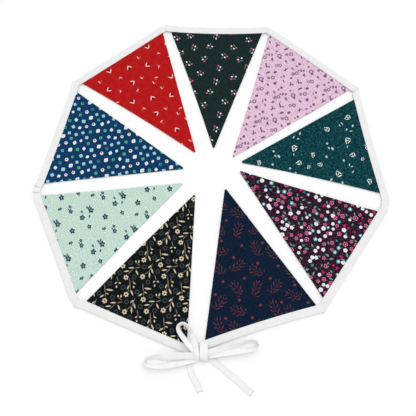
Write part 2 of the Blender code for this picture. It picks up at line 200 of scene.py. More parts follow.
class Cloth:
    """The nodes of one cloth's material, on the piece's own map."""

    def __init__(self, name, rough=0.9, specular=0.03):
        self.material = bpy.data.materials.new(name)
        self.material.use_nodes = True
        self.nodes = self.material.node_tree.nodes
        self.links = self.material.node_tree.links
        self.shader = self.nodes["Principled BSDF"]
        self.shader.inputs["Roughness"].default_value = rough
        self.shader.inputs["Specular IOR Level"].default_value = specular
        cut = self.nodes.new("ShaderNodeUVMap")
        cut.uv_map = "cut"
        scale = self.nodes.new("ShaderNodeMapping")
        scale.inputs["Scale"].default_value = (1000, 1000, 1000)
        self.links.new(cut.outputs["UV"], scale.inputs["Vector"])
        self.place = scale.outputs["Vector"]

    def feed(self, socket, value):
        if isinstance(value, bpy.types.NodeSocket):
            self.links.new(value, socket)
        elif isinstance(value, (tuple, list)) and len(value) == 2:
            socket.default_value = (*value, 0.0)
        else:
            socket.default_value = value

    def math(self, operation, *values):
        node = self.nodes.new("ShaderNodeMath")
        node.operation = operation
        for socket, value in zip(node.inputs, values):
            self.feed(socket, value)
        return node.outputs[0]

    def vector(self, operation, *values):
        node = self.nodes.new("ShaderNodeVectorMath")
        node.operation = operation
        for socket, value in zip(node.inputs, values):
            self.feed(socket, value)
        return node.outputs["Value" if operation in ("LENGTH", "DISTANCE", "DOT_PRODUCT") else "Vector"]

    def scaled(self, vector, factor):
        node = self.nodes.new("ShaderNodeVectorMath")
        node.operation = "SCALE"
        self.feed(node.inputs["Vector"], vector)
        self.feed(node.inputs["Scale"], factor)
        return node.outputs["Vector"]

    def turned(self, vector, radians):
        node = self.nodes.new("ShaderNodeVectorRotate")
        node.rotation_type = "Z_AXIS"
        self.feed(node.inputs["Vector"], vector)
        self.feed(node.inputs["Angle"], radians)
        return node.outputs["Vector"]

    def chosen(self, factor, one, other):
        """The first vector where the factor is 0 and the second where it is 1."""
        node = self.nodes.new("ShaderNodeMix")
        node.data_type = "VECTOR"
        self.feed(node.inputs[0], factor)
        self.feed(node.inputs[4], one)
        self.feed(node.inputs[5], other)
        return node.outputs[1]

    def dyed(self, factor, one, other):
        """The first colour where the factor is 0 and the second where it is 1."""
        node = self.nodes.new("ShaderNodeMix")
        node.data_type = "RGBA"
        for socket, value in zip((node.inputs[0], node.inputs[6], node.inputs[7]), (factor, one, other)):
            self.feed(socket, (*value, 1.0) if isinstance(value, tuple) else value)
        return node.outputs[2]

    def inside(self, distance, edge, soft):
        """1 where the distance is under the edge, falling to 0 over the soft width round it."""
        node = self.nodes.new("ShaderNodeMapRange")
        node.interpolation_type = "SMOOTHSTEP"
        for key, value in (("From Min", edge + soft / 2), ("From Max", edge - soft / 2)):
            node.inputs[key].default_value = value
        self.feed(node.inputs["Value"], distance)
        return node.outputs["Result"]

    def parts(self, vector):
        node = self.nodes.new("ShaderNodeSeparateXYZ")
        self.feed(node.inputs[0], vector)
        return node.outputs[0], node.outputs[1], node.outputs[2]

    def noise(self, size, place=None):
        """Uneven patches of about this size in millimetres."""
        node = self.nodes.new("ShaderNodeTexNoise")
        node.inputs["Scale"].default_value = 1 / size
        node.inputs["Detail"].default_value = 2.0
        self.links.new(place or self.place, node.inputs["Vector"])
        return node.outputs["Fac"]

    def patches(self, size, low, high):
        """Patches of about this size, from 0 where the noise is low to 1 where it is high."""
        return self.stepped(self.noise(size), low, high)

    def strokes(self, size, turn, low, high):
        """Patches drawn out to three times their width at this turn."""
        place = self.vector("MULTIPLY", self.turned(self.place, math.radians(-turn)), (1 / 3, 1.0, 1.0))
        return self.stepped(self.noise(size, place=place), low, high)

    def stepped(self, value, low, high):
        node = self.nodes.new("ShaderNodeMapRange")
        node.inputs["From Min"].default_value = low
        node.inputs["From Max"].default_value = high
        self.links.new(value, node.inputs["Value"])
        return node.outputs["Result"]

    def spots(self, rows, repeat):
        """The nearest motif of a repeated chart: how far off, 1 at its edge, and the place in its own size.

        A row is x, y, turn in degrees, length and width. The repeat is two steps, one across and one down."""
        (across, drop), (slide, height) = repeat
        width = across - drop * slide / height
        best = None
        for x, y, turn, long, wide in rows:
            local = self.vector("SUBTRACT", self.place, (x, y))
            columns = self.vector("DOT_PRODUCT", local, (1 / width, -slide / height / width))
            column = self.math("ROUND", columns)
            local = self.vector("ADD", local, self.scaled((-across, -drop), column))
            row = self.math("ROUND", self.vector("DOT_PRODUCT", local, (0.0, 1 / height)))
            local = self.vector("ADD", local, self.scaled((-slide, -height), row))
            local = self.vector("DIVIDE", self.turned(local, math.radians(-turn)), (long / 2, wide / 2, 1.0))
            reach = self.vector("LENGTH", local)
            if best is None:
                best = (reach, local)
                continue
            nearer = self.math("LESS_THAN", reach, best[0])
            best = (self.math("MINIMUM", reach, best[0]), self.chosen(nearer, best[1], local))
        return best

    def blooms(self, rows, repeat, long=1.0, wide=1.0):
        """As spots, with one size in a row, drawn at these shares of it along and across."""
        return self.spots([(x, y, turn, long * size, wide * size) for x, y, turn, size in rows], repeat)

    def ovals(self, rows, repeat, soft=0.3):
        """Petals, dots or strokes: 1 inside them."""
        return self.inside(self.spots(rows, repeat)[0], 1.0, soft)

    def leaves(self, rows, repeat):
        return self.inside(self.pointed(self.spots(rows, repeat)[1]), 1.0, 0.3)

    def pointed(self, local):
        """How far off in a leaf's own size, 1 on an outline with two pointed ends."""
        x, y, _ = self.parts(local)
        return self.math("MULTIPLY_ADD", x, x, self.math("ABSOLUTE", y))

    def scattered(self, pitch, uneven):
        """Spots strewn about this far apart: the place from the nearest, in millimetres, and three draws."""
        node = self.nodes.new("ShaderNodeTexVoronoi")
        node.voronoi_dimensions = "2D"
        node.inputs["Scale"].default_value = 1 / pitch
        node.inputs["Randomness"].default_value = uneven
        self.links.new(self.place, node.inputs["Vector"])
        nearest, draws = node.outputs["Position"], node.outputs["Color"]
        return self.vector("SUBTRACT", self.place, nearest), self.parts(draws)

    def oval(self, place, x, y, turn, long, wide, soft=0.3):
        """One petal or dot in a motif, 1 inside it."""
        return self.inside(self.vector("LENGTH", self.local(place, x, y, turn, long, wide)), 1.0, soft)

    def leaf(self, place, x, y, turn, long, wide, soft=0.3):
        return self.inside(self.pointed(self.local(place, x, y, turn, long, wide)), 1.0, soft)

    def local(self, place, x, y, turn, long, wide):
        local = self.turned(self.vector("SUBTRACT", place, (x, y)), math.radians(-turn))
        return self.vector("DIVIDE", local, (long / 2, wide / 2, 1.0))

    def ring(self, reach, middle, thick, soft=0.25):
        return self.inside(self.math("ABSOLUTE", self.math("SUBTRACT", reach, middle)), thick / 2, soft)

    def flower(self, place, petals, notch=0.3):
        """A flower of radius 1 with round petals, its edge drawn in by the notch between them."""
        x, y, _ = self.parts(place)
        angle = self.math("MULTIPLY_ADD", self.math("ARCTAN2", y, x), petals / 2, 0.0)
        swing = self.math("POWER", self.math("ABSOLUTE", self.math("COSINE", angle)), 0.6)
        edge = self.math("MULTIPLY_ADD", swing, notch, 1 - notch)
        return self.inside(self.math("SUBTRACT", self.vector("LENGTH", place), edge), 0.0, 0.25)

    def either(self, *masks):
        total = masks[0]
        for mask in masks[1:]:
            total = self.math("MAXIMUM", total, mask)
        return total

    def both(self, *masks):
        total = masks[0]
        for mask in masks[1:]:
            total = self.math("MULTIPLY", total, mask)
        return total

    def within(self, draw, low, high):
        """1 where a draw lies between these."""
        return self.math("COMPARE", draw, (low + high) / 2, (high - low) / 2)

    def ground(self, colour, other, size, low=0.4, high=0.65):
        return self.dyed(self.patches(size, low, high), colour, other)

    def finish(self, colour, weave=0.36, depth=0.035):
        """Joins the colour to the shader, with the threads of a plain weave raised from it and painted shade
        on them: lighter on their tops, darker between them.
        """
        x, y, _ = self.parts(self.place)
        warp = self.math("SINE", self.math("MULTIPLY", x, 2 * math.pi / weave))
        weft = self.math("SINE", self.math("MULTIPLY", y, 2 * math.pi / weave))
        threads = self.math("MULTIPLY", warp, weft)
        slub = self.math("MULTIPLY_ADD", self.noise(0.5), SLUB, threads)
        bump = self.nodes.new("ShaderNodeBump")
        bump.inputs["Strength"].default_value = THREAD_BUMP
        bump.inputs["Distance"].default_value = depth / 1000
        self.links.new(slub, bump.inputs["Height"])
        self.links.new(bump.outputs["Normal"], self.shader.inputs["Normal"])
        # painted shade of the weave: the colour is lighter where the threads rise and darker between them
        wear_and_thread_shade = self.math("MULTIPLY_ADD", threads, THREAD_SHADE, 1.0)
        self.links.new(self.scaled(colour, wear_and_thread_shade), self.shader.inputs["Base Color"])
        return self.material


def rgb(red, green, blue):
    """A dye colour, given as the eye sees it from 0 to 255, as light."""
    return tuple((c / 255 / 12.92) if c <= 10 else ((c / 255 + 0.055) / 1.055) ** 2.4
                 for c in (red, green, blue))


def black_print(cloth):
    """Cream flowers on leafy stems with small drops, and grey rings, on black."""
    repeat = ((49.2, -21.9), (-3.4, 53.4))
    colour = cloth.ground(rgb(15, 20, 23), rgb(22, 28, 31), 5)
    rings, _ = cloth.spots([(x, y, 0, 7.2, 7.2) for x, y in (
        (3.5, 22.1), (-17.6, 24.4), (23.9, 20.7), (-4.5, 40.5), (15.5, 38.5), (-12.9, 58.7),
        (7.1, 56.6))], repeat)
    colour = cloth.dyed(cloth.both(cloth.ring(rings, 0.72, 0.3, 0.4), 0.8), colour, rgb(76, 82, 86))
    stems = cloth.ovals((
        (17.2, 14.5, 122, 9, 0.8), (14.8, 24, 86, 12, 1.0), (-9.7, 28.7, 113, 9, 0.8),
        (-17, 38.3, 145, 7, 1.0), (10.5, 47.5, 62, 11, 1.0), (6.2, 40.0, 66, 5, 0.8),
        (29.4, 44.4, 62, 15, 1.0), (27.6, 35, 85, 5, 0.7), (3.2, 13, 50, 7, 0.9), (-15.5, 42.7, 10, 6, 0.8),
        (26.8, 49.5, 60, 5, 0.7)), repeat, 0.6)
    colour = cloth.dyed(cloth.both(stems, 0.75), colour, rgb(164, 152, 130))
    leaves = cloth.leaves((
        (12.5, 13, 67, 9.1, 2.1), (11.2, 19.8, 49, 8.2, 2), (17.1, 23.9, 117, 6.1, 1.8),
        (-4.3, 27.5, 151, 8.2, 2), (-18.8, 31.6, 42, 8.3, 2.1), (-8.8, 34.5, 157, 8.8, 1.9),
        (-15, 46.6, 80, 4.8, 2.1), (-11.1, 45.1, 60, 3.5, 2.1), (9.8, 36.6, 127, 7.1, 2),
        (3.5, 48.3, -15, 10.6, 2.4), (4.4, 42.3, 5, 4.8, 1.4), (22.1, 34.8, 42, 9, 2.1),
        (30.1, 39.4, 88, 6.5, 1.9), (22.8, 43, 60, 3.5, 2.3), (24.2, 48, 0, 4.6, 1.7),
        (-0.2, 2.5, 80, 3.5, 2.3), (-2.3, 9.1, 0, 3.5, 2.1), (2.7, 7.1, 125, 4.2, 1.7)), repeat)
    colour = cloth.dyed(leaves, colour, rgb(205, 191, 162))
    reach, place = cloth.spots([(x, y, 20, 7.2, 7.2) for x, y in (
        (20.7, 7.4), (-7.2, 19.4), (3.5, 32.3), (28.5, 29.6))], repeat)
    colour = cloth.dyed(cloth.flower(place, 6, 0.52), colour, rgb(222, 203, 170))
    return cloth.dyed(cloth.inside(reach, 0.38, 0.3), colour, rgb(92, 66, 46))


def mint_print(cloth):
    """Small dark teal flowers and leaf pairs on pale green with lighter specks."""
    repeat = ((53.7, 2.6), (0.4, 51.5))
    colour = cloth.ground(rgb(184, 210, 197), rgb(230, 242, 235), 1.6, 0.5, 0.66)
    reach, place = cloth.spots((
        (8.1, 24.4, 10, 9.4, 8.4), (-32.8, 42.1, 30, 9, 8.4), (4.2, 49.4, 0, 6.8, 6.4),
        (-27.4, 57.5, 20, 9.6, 8.8), (-7.8, 16.6, 100, 6.6, 5), (-17.2, 29.6, 20, 8, 6.6),
        (-10.2, 31, 0, 5.4, 5)), repeat)
    colour = cloth.dyed(cloth.oval(place, 0.5, 0.62, 40, 1.1, 0.6), colour, rgb(232, 244, 238))
    petals = cloth.both(cloth.flower(place, 5, 0.5), cloth.patches(1.5, 0.16, 0.46))
    colour = cloth.dyed(petals, colour, rgb(8, 54, 72))
    colour = cloth.dyed(cloth.inside(reach, 0.26, 0.2), colour, rgb(120, 166, 172))
    leaves = cloth.leaves((
        (-24.4, 44.3, -12, 5.4, 2.8), (-22.2, 54.2, -24, 7.5, 3.0), (-35.4, 52.2, 30, 5.8, 2.6),
        (-7.2, 14.6, 60, 4.4, 1.6), (-12.8, 27.6, 150, 4.8, 2), (0.2, 49.5, 0, 3, 1.2),
        (-21.4, 57.6, 30, 5, 2.4)), repeat)
    return cloth.dyed(cloth.both(leaves, cloth.patches(1.8, 0.2, 0.5)), colour, rgb(38, 84, 98))


def blue_print(cloth):
    """Close little flowers, white, pale aqua, green and with a reddish eye, on blue."""
    repeat = ((42, -26.4), (-2.2, 58.1))
    colour = cloth.ground(rgb(13, 53, 92), rgb(19, 63, 102), 4)
    reach, place = cloth.blooms((
        (-13.6, 30.3, 25, 5.6), (18.7, 40.7, 25, 5.3), (-26.5, 27.3, 25, 5.3), (-0.6, 43.5, 25, 5.4),
        (-1.1, 73.5, 25, 5.3)), repeat, 0.94, 0.94)
    faint = cloth.dyed(cloth.patches(14, 0.42, 0.5), rgb(56, 116, 140), rgb(92, 182, 146))
    colour = cloth.dyed(cloth.flower(place, 4, 0.2), colour, faint)
    colour = cloth.dyed(cloth.inside(reach, 0.34, 0.3), colour, rgb(24, 74, 70))
    reach, place = cloth.blooms((
        (8.9, 20.7, 10, 5.8), (32.7, 25.1, 30, 6.9), (14.2, 29.8, 0, 5.6), (-33.2, 36.2, 20, 5.4),
        (-22, 38.9, 0, 6.2), (8.2, 38, 40, 5.9)), repeat, 0.94, 0.94)
    colour = cloth.dyed(cloth.flower(place, 4, 0.34), colour, rgb(166, 208, 216))
    colour = cloth.dyed(cloth.inside(reach, 0.25, 0.3), colour, rgb(118, 176, 200))
    reach, place = cloth.blooms((
        (-16.7, 19.8, 25, 7.7), (-4.3, 22.7, 0, 6.7), (20.9, 22.5, 40, 5.8), (-40.6, 28.9, 30, 7.7),
        (1.2, 31, 10, 5.1), (-9.9, 39.6, -20, 6.1)), repeat, 0.94, 0.8)
    colour = cloth.dyed(cloth.flower(place, 4, 0.3), colour, rgb(230, 235, 236))
    colour = cloth.dyed(cloth.inside(reach, 0.16, 0.2), colour, rgb(128, 150, 160))
    _, place = cloth.blooms((
        (-33.1, 19.8, 0, 6.2), (25.5, 32.1, 50, 5.4), (31.8, 41.8, 20, 5.8)), repeat, 0.9, 0.9)
    colour = cloth.dyed(cloth.flower(place, 5, 0.2), colour, rgb(238, 232, 230))
    return cloth.dyed(cloth.oval(place, 0.1, -0.16, 70, 0.94, 0.72), colour, rgb(96, 20, 26))


def red_print(cloth):
    """Pairs of small leaves, some bright with a dark wedge between them and some faint, on red."""
    repeat = ((73.6, -0.3), (0.4, 66))
    colour = cloth.ground(rgb(174, 22, 24), rgb(184, 29, 30), 7)
    _, place = cloth.spots([(x, y, turn, 9.6, 9.6) for x, y, turn in (
        (-31, 7.4, 0), (-2.3, 18.7, 180), (23.6, 33, 84), (-11.3, 44.5, -94))], repeat)
    colour = cloth.dyed(cloth.oval(place, 0.0, -0.4, 90, 1.0, 0.56, 0.4), colour, rgb(48, 6, 8))
    pair = cloth.either(cloth.leaf(place, -0.4, 0.02, 54, 1.65, 0.35),
                        cloth.leaf(place, 0.4, 0.02, -54, 1.65, 0.35))
    colour = cloth.dyed(pair, colour, rgb(244, 206, 198))
    _, place = cloth.spots([(x, y, turn, 7.4, 7.4) for x, y, turn in (
        (20.3, 14.2, 30), (-24, 26.3, 180), (-36.2, 45, -100), (5, 46.8, 10), (-13.7, 61.7, 110),
        (15.4, 65.2, 40), (22, 60, 150))], repeat)
    faint = cloth.both(cloth.leaf(place, 0.4, -0.05, -55, 1.4, 0.46), 0.5)
    colour = cloth.dyed(faint, colour, rgb(228, 120, 130))
    clear = cloth.both(cloth.leaf(place, -0.4, -0.05, 58, 1.6, 0.46), 0.8)
    return cloth.dyed(clear, colour, rgb(246, 202, 196))


def green_print(cloth):
    """Sprigs of white buds and one pink on short pale stalks, wide apart on a dark green."""
    repeat = ((160, 0), (1.2, 81.8))
    colour = cloth.ground(rgb(26, 39, 40), rgb(30, 45, 45), 6)
    _, place = cloth.spots([(x, y, turn, 10, 10) for x, y, turn in (
        (-43.2, 4.8, -10), (-65, 10.5, -10), (-1.2, 4.2, -130), (52, 10.9, 10), (-36, 25.8, -128),
        (-10.8, 22.8, 146), (27.6, 23.6, 0), (58, 31.5, -120), (-57, 37.3, 100), (-19, 45.5, 76),
        (13, 39.5, 0), (38, 46.8, 105), (-44, 55.6, 0), (5, 62, -123), (-25.4, 71.8, -15),
        (49.5, 62.2, -120), (27.9, 78.8, 132))], repeat)
    stalks = cloth.either(cloth.oval(place, 0.26, -0.6, 52, 1.0, 0.26, 0.5),
                          cloth.oval(place, -0.7, 0.66, 110, 0.7, 0.26, 0.5))
    colour = cloth.dyed(cloth.both(stalks, 0.75), colour, rgb(132, 152, 146))
    colour = cloth.dyed(cloth.oval(place, -0.25, 0.1, 40, 0.9, 0.2, 0.5), colour, rgb(110, 64, 80))
    buds = cloth.either(cloth.oval(place, -0.66, -0.42, 60, 0.58, 0.44),
                        cloth.oval(place, 0.14, 0.56, 60, 0.62, 0.44))
    colour = cloth.dyed(buds, colour, rgb(238, 240, 240))
    return cloth.dyed(cloth.oval(place, 0.92, 0.2, 0, 0.62, 0.58), colour, rgb(196, 88, 128))


def pink_print(cloth):
    """Close little mauve flowers, some only outlined, with leaves and sprigs, on pink."""
    repeat = ((56.5, -8.4), (1.8, 51))
    colour = cloth.ground(rgb(220, 184, 206), rgb(231, 201, 220), 2.2)
    strewn, (kind, _, _) = cloth.scattered(5.2, 1.0)
    fleck = cloth.both(cloth.inside(cloth.vector("LENGTH", strewn), 1.1, 0.8), cloth.within(kind, 0.0, 0.5))
    colour = cloth.dyed(cloth.both(fleck, 0.55), colour, rgb(150, 118, 152))
    reach, place = cloth.blooms((
        (-29.7, 7.1, 0, 7), (13.9, 12.1, 20, 8), (-31.8, 33.4, 30, 6.6), (-2.9, 28.5, 0, 6.4),
        (-36, 37.5, 20, 5.6)), repeat)
    petals = cloth.flower(place, 5, 0.2)
    outline = cloth.both(petals, cloth.math("SUBTRACT", 1.0, cloth.inside(reach, 0.42, 0.35)))
    colour = cloth.dyed(cloth.both(outline, 0.9), colour, rgb(118, 92, 128))
    _, place = cloth.blooms((
        (-6.5, 33, 0, 6.6), (-12.9, 26.2, 30, 4.8), (-34.5, 11.5, 0, 5), (25.4, 40, 0, 4.6),
        (23.6, 54.2, 0, 5.6)), repeat)
    colour = cloth.dyed(cloth.both(cloth.flower(place, 5, 0.3), 0.8), colour, rgb(124, 96, 132))
    dark = cloth.ovals((
        (-21.3, 13.4, 0, 5.9, 4.1), (-21.3, 11, 90, 4.4, 2.2), (-8.6, 12.9, 40, 4.8, 4.1),
        (17.6, 14.6, -30, 4.6, 2.7), (28, 13.5, 20, 5.5, 2.9), (-0.2, 20.3, 50, 5.5, 2.7),
        (3.5, 17.8, 60, 4.2, 2.9), (-3.4, 23, 0, 3.1, 2.9), (-10, 18.7, 0, 3.3, 2.9),
        (8, 23.7, 70, 5.1, 3.2), (10.3, 24.6, 20, 3.7, 1.7), (5.7, 8, 0, 3.3, 3.4),
        (-20.6, 34.2, 45, 7, 1.8), (-19.4, 32.8, 110, 5.1, 1.8), (-21.6, 36.4, 20, 3.3, 1.8),
        (5.7, 37.1, 60, 4.6, 2.4), (9, 39.6, 45, 5.5, 2.9), (12.5, 37.8, 0, 4.2, 2.4),
        (-4.5, 40.7, 110, 4.6, 3.4), (-15.8, 45.1, 40, 4.2, 3.4), (-17.9, 49.5, 0, 3.1, 2.4),
        (-30.6, 48, 115, 5.9, 3.4), (1.6, 51, 90, 5.1, 2.7), (-0.4, 48.2, 30, 3.7, 2.2),
        (3.6, 48.2, -30, 3.7, 2.2), (17.2, 47, 122, 7.7, 3.4), (-11.1, 52.5, 30, 5.3, 2.2)), repeat, 0.5)
    return cloth.dyed(cloth.both(dark, 0.92), colour, rgb(100, 70, 106))


def teal_print(cloth):
    """White broken outlines of flowers and dots, wide apart over faint leafy strokes, on teal."""
    repeat = ((150, 0), (-1.9, 83.6))
    colour = cloth.ground(rgb(4, 47, 55), rgb(16, 73, 80), 3.2, 0.42, 0.66)
    for turn in (35, -50):
        colour = cloth.dyed(cloth.both(cloth.strokes(1.6, turn, 0.58, 0.68), 0.42), colour, rgb(74, 128, 130))
    colour = cloth.dyed(cloth.both(cloth.strokes(1.8, 10, 0.54, 0.64), 0.6), colour, rgb(5, 30, 37))
    reach, place = cloth.blooms((
        (-48.5, 15.2, 40, 9.9), (-12.7, 23.8, 0, 10.8), (12.7, 22.9, 60, 9), (20.9, 9.9, 20, 6.3),
        (2.4, 0.8, 180, 5.4), (56.1, 8.9, -20, 9), (-34.4, 52.6, 100, 9.5), (38.8, 53.4, 130, 10.8),
        (0.5, 82.5, -20, 8.5), (19.2, 76, 80, 8.1)), repeat)
    petals = cloth.either(
        cloth.leaf(place, -0.5, -0.1, -58, 1.5, 0.3), cloth.leaf(place, 0.5, -0.06, 50, 1.3, 0.3),
        cloth.leaf(place, -0.1, 0.76, 8, 1.5, 0.34), cloth.leaf(place, 0.05, 0.2, 62, 0.8, 0.22),
        cloth.leaf(place, 0.8, 0.8, -20, 0.5, 0.3))
    colour = cloth.dyed(cloth.both(cloth.inside(reach, 0.7, 0.5), 0.8), colour, rgb(5, 28, 35))
    wear_and_thread_shade = cloth.math("MULTIPLY_ADD", cloth.patches(1.4, 0.3, 0.5), 0.5, 0.5)
    colour = cloth.dyed(cloth.both(petals, wear_and_thread_shade), colour, rgb(232, 243, 243))
    marks = cloth.leaves((
        (18, 39.3, 20, 4, 3.2), (-13, 57.8, 0, 3.8, 3.4), (7.6, 63.8, 0, 4.2, 3.4),
        (-3.6, 51.6, -20, 6, 3.2), (-5.3, 56.8, -30, 4.6, 2.4), (51.8, 50.8, 0, 4.6, 2.8),
        (44.2, 66, 50, 6, 2.4), (-41, 27.5, -30, 5.6, 1.8), (-38.6, 31.6, -30, 4.4, 1.8),
        (-30, 22.8, 40, 5, 2), (-26.3, 16.5, 100, 4.8, 1.8), (-34.3, 12, 30, 5.2, 2.6),
        (26.4, 32.6, 20, 5, 1.6), (29.6, 29.6, 80, 4.4, 1.4), (38, 30.6, 40, 5.2, 1.6),
        (-2.6, 28.4, 10, 4.2, 1.6)), repeat)
    return cloth.dyed(cloth.both(marks, wear_and_thread_shade, 0.85), colour, rgb(208, 228, 226))


def plum_print(cloth):
    """Close little flowers and dots, white, magenta and aqua, with green leaves, on plum."""
    colour = cloth.ground(rgb(34, 15, 29), rgb(70, 38, 62), 2.2, 0.46, 0.68)
    colour = cloth.dyed(cloth.both(cloth.strokes(1.5, 60, 0.58, 0.68), 0.5), colour, rgb(128, 108, 120))
    colour = cloth.dyed(cloth.both(cloth.strokes(1.7, -20, 0.56, 0.64), 0.7), colour, rgb(14, 8, 14))
    place, (kind, turn, size) = cloth.scattered(8.4, 0.75)
    place = cloth.turned(place, cloth.math("MULTIPLY", turn, 2 * math.pi))
    place = cloth.scaled(place, cloth.math("MULTIPLY_ADD", size, -0.17, 0.46))
    reach = cloth.vector("LENGTH", place)
    bloom = cloth.flower(place, 5, 0.25)
    colour = cloth.dyed(cloth.both(bloom, cloth.within(kind, 0.0, 0.54)), colour, rgb(240, 232, 240))
    colour = cloth.dyed(cloth.both(cloth.inside(reach, 0.16, 0.2), cloth.within(kind, 0.0, 0.29)), colour,
                        rgb(140, 122, 138))
    magenta = cloth.both(cloth.ring(reach, 0.5, 0.74, 0.2), cloth.within(kind, 0.28, 0.52))
    colour = cloth.dyed(magenta, colour, rgb(186, 8, 104))
    aqua = cloth.dyed(cloth.inside(reach, 0.45, 0.3), rgb(96, 172, 182), rgb(228, 240, 240))
    colour = cloth.dyed(cloth.both(bloom, cloth.within(kind, 0.54, 0.61)), colour, aqua)
    for radius, low, high, dye in ((0.66, 0.61, 0.66, (192, 30, 112)), (0.62, 0.66, 0.74, (40, 146, 146))):
        dot = cloth.both(cloth.inside(reach, radius, 0.3), cloth.within(kind, low, high))
        colour = cloth.dyed(dot, colour, rgb(*dye))
    leaf = cloth.both(cloth.leaf(place, 0, 0, 0, 2.0, 0.9), cloth.within(kind, 0.74, 1.0))
    return cloth.dyed(leaf, colour, rgb(104, 152, 132))


def navy_print(cloth):
    """Rust coloured dots and feathery sprigs, faint on navy."""
    repeat = ((81.4, 1.4), (-0.4, 88))
    colour = cloth.ground(rgb(14, 27, 47), rgb(20, 37, 58), 3)
    colour = cloth.dyed(cloth.both(cloth.strokes(1.6, 35, 0.58, 0.68), 0.6), colour, rgb(12, 18, 34))
    reach, place = cloth.spots([(x, y, turn, 25, flip * 20) for x, y, turn, flip in (
        (-24, 11, 80, 1), (26.5, 22, 30, 1), (-35, 39, 150, -1), (-7.4, 45, 120, 1), (17.5, 53, 75, -1),
        (-15, 68, 40, 1), (7.4, 82, 165, -1), (-45, 87, 60, 1))], repeat)
    sprigs = cloth.either(*(cloth.leaf(place, x, y, turn, long, wide, 0.6) for x, y, turn, long, wide in (
        (-0.64, 0.10, 16, 0.62, 0.07), (-0.16, 0.0, 2, 0.66, 0.07), (0.30, 0.05, 12, 0.56, 0.07),
        (0.76, 0.24, 30, 0.56, 0.10), (-0.60, -0.28, -38, 0.66, 0.10), (-0.14, -0.42, -52, 0.74, 0.10),
        (0.34, -0.36, -34, 0.72, 0.10), (0.74, -0.12, -14, 0.46, 0.09), (-0.84, 0.50, 70, 0.5, 0.09),
        (-0.36, 0.44, 50, 0.72, 0.10), (0.12, 0.50, 58, 0.68, 0.10), (0.56, 0.60, 40, 0.56, 0.09))))
    rust = cloth.dyed(cloth.patches(2.2, 0.4, 0.6), rgb(78, 42, 52), rgb(146, 72, 70))
    colour = cloth.dyed(cloth.both(sprigs, cloth.patches(1.6, 0.26, 0.56)), colour, rust)
    dots = cloth.ovals([(x, y, 0, 3.8, 3.6) for x, y in (
        (9.9, 8), (-36.2, 16.8), (-6.6, 20.9), (19.8, 36.3), (-31.5, 52.6), (3.9, 63.2), (34, 68),
        (-20.9, 78))], repeat, 0.5)
    return cloth.dyed(cloth.both(dots, 0.85), colour, rgb(136, 62, 60))


PRINTS = {
    "black": black_print, "mint": mint_print, "blue": blue_print, "red": red_print, "green": green_print,
    "pink": pink_print, "teal": teal_print, "plum": plum_print, "navy": navy_print,
}

for flag in FLAGS:
    piece = make_flag(flag)
    cloth = Cloth("cotton_" + flag.name)
    piece.data.materials.append(cloth.finish(PRINTS[flag.name](cloth)))
    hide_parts("flag_" + flag.name)
    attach(piece, "root")

# The binding: one white cotton tape, folded in half over the raw edge of every flag and sewn through near its
# open edge. Between two flags it holds nothing, and there the flat tape turns its corner by a small pleat.
TAPE_WIDTH = 0.0114
TAPE_WALL = 0.0009
TAPE_SLOT = 0.0012
TAPE_PAST = 0.0006
PLEAT_WALL = 0.00046
PLEAT_SLOT = 0.00004
STITCH_PITCH = 0.0026
STITCH_IN = 0.0017  # distance of the stitching from the tape's open edge
STATION_STEP = 0.0016
FILL_STEPS = 5  # stations between a flag's stretch of tape and a corner
PUCKERS = ((260, 0.00006), (60, 0.00008))  # how often in a metre and how high the sewn tape puckers

# Half of the folded tape cut across, from the middle of the folded edge round to its open edge and back
# inside: the share of the width out from the open edge, the share of the half thickness, and of the half
# slot
Profile = namedtuple("Profile", "out half slot")
TAPE_PROFILE = (
    Profile(1.000, 0.00, 0), Profile(0.996, 0.42, 0), Profile(0.978, 0.76, 0), Profile(0.940, 0.95, 0),
    Profile(0.850, 1.00, 0), Profile(0.650, 1.03, 0), Profile(0.450, 1.03, 0), Profile(0.280, 1.01, 0),
    Profile(0.190, 0.98, 0), Profile(0.145, 0.90, 0), Profile(0.105, 0.97, 0), Profile(0.050, 0.98, 0),
    Profile(0.014, 0.90, 0), Profile(0.000, 0.74, 0), Profile(0.002, 0.20, 0.8), Profile(0.020, 0.00, 1),
    Profile(0.880, 0.00, 1), Profile(0.905, 0.00, 0),
)
Station = namedtuple("Station", "inner outer normal wall slot")

# The bends of the tape, each after the flag it is named by: the length of tape that lies across the corner,
# whether the tape before the corner lies over (1) or under (-1) the tape after it or is eased round flat (0),
# how far past the place where the two seam lines meet the corner lies, and how far its fold stands open
Bend = namedtuple("Bend", "after across over slide gape")
BENDS = (
    Bend("black", 0.0012, 1, 0.0, 0.0), Bend("mint", 0.0070, -1, 0.0, 0.0),
    Bend("blue", 0.0030, 1, 0.0022, 0.0001), Bend("red", 0.0022, -1, 0.0, 0.0007),
    Bend("green", 0.0030, 1, 0.0, 0.0005), Bend("pink", 0.0030, 1, -0.0042, 0.0002),
    Bend("teal", 0.0125, 0, 0.0, 0.0), Bend("plum", 0.0045, -1, 0.0030, 0.0),
)
EASED_STEPS = 6
ONE_FOLD = 0.006  # a bend with less tape than this across it takes one pleat, and a longer one takes two
FOLD_ANGLES = (0, 40, 75, 105, 140, 180)

# Where the tape runs on into the knot, past the first flag and past the last: how far, the share of its width
# that is left there, and how far it has climbed
PastEnd = namedtuple("PastEnd", "reach share climb")
INTO_KNOT = (PastEnd(0.0030, 1.00, 0.0001), PastEnd(0.0065, 0.97, 0.0004), PastEnd(0.0105, 0.92, 0.0009),
             PastEnd(0.0145, 0.85, 0.0013), PastEnd(0.0180, 0.78, 0.0015))
OUT_OF_KNOT = (PastEnd(0.0020, 1.00, 0.0000), PastEnd(0.0042, 0.97, 0.0001), PastEnd(0.0058, 0.88, 0.0002),
               PastEnd(0.0069, 0.72, 0.0003), PastEnd(0.0075, 0.50, 0.0003))
UP = Vector((0, 0, 1))


def between(one, other, share):
    return Station(one.inner.lerp(other.inner, share), one.outer.lerp(other.outer, share),
                   one.normal.lerp(other.normal, share).normalized(),
                   one.wall + (other.wall - one.wall) * ease(share),
                   one.slot + (other.slot - one.slot) * ease(share))


